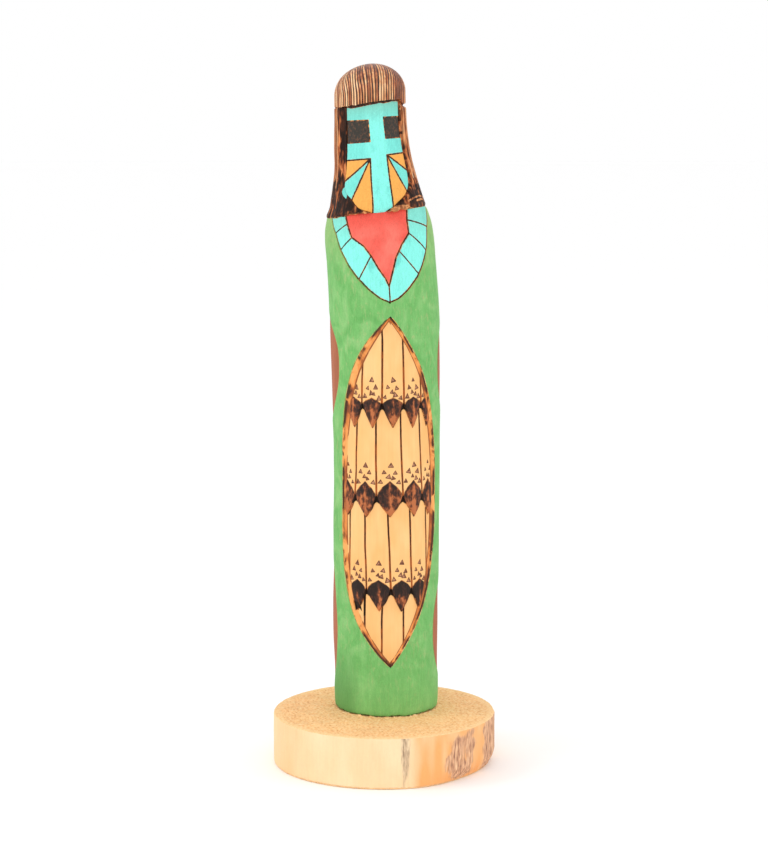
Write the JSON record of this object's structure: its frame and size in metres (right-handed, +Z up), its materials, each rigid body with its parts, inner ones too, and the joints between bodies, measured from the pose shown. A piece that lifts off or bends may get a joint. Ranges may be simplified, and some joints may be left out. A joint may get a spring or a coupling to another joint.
{
  "type": "carved log figure",
  "caption": "Tall painted figure carved from a round log, with burned hair, mask face, bib and feather panel, standing on a slice of peeled log.",
  "frame": {"origin": "centre of the base's outline, on the surface the base stands on", "axes": "+Z up along the log, -Y the way the face looks, +X to the right as seen from the front"},
  "size_m": [0.1044, 0.104, 0.3284],
  "materials": {
    "painted_wood": "matte paint and burned lines on carved wood",
    "peeled_wood": "rough-sawn end grain, peeled side",
    "screw_steel": "zinc plated"
  },
  "bodies": {
    "root": {"carved_figure": "painted_wood", "base_slice": "peeled_wood", "base_screw_1": "screw_steel", "base_screw_2": "screw_steel"}
  },
  "joints": []
}
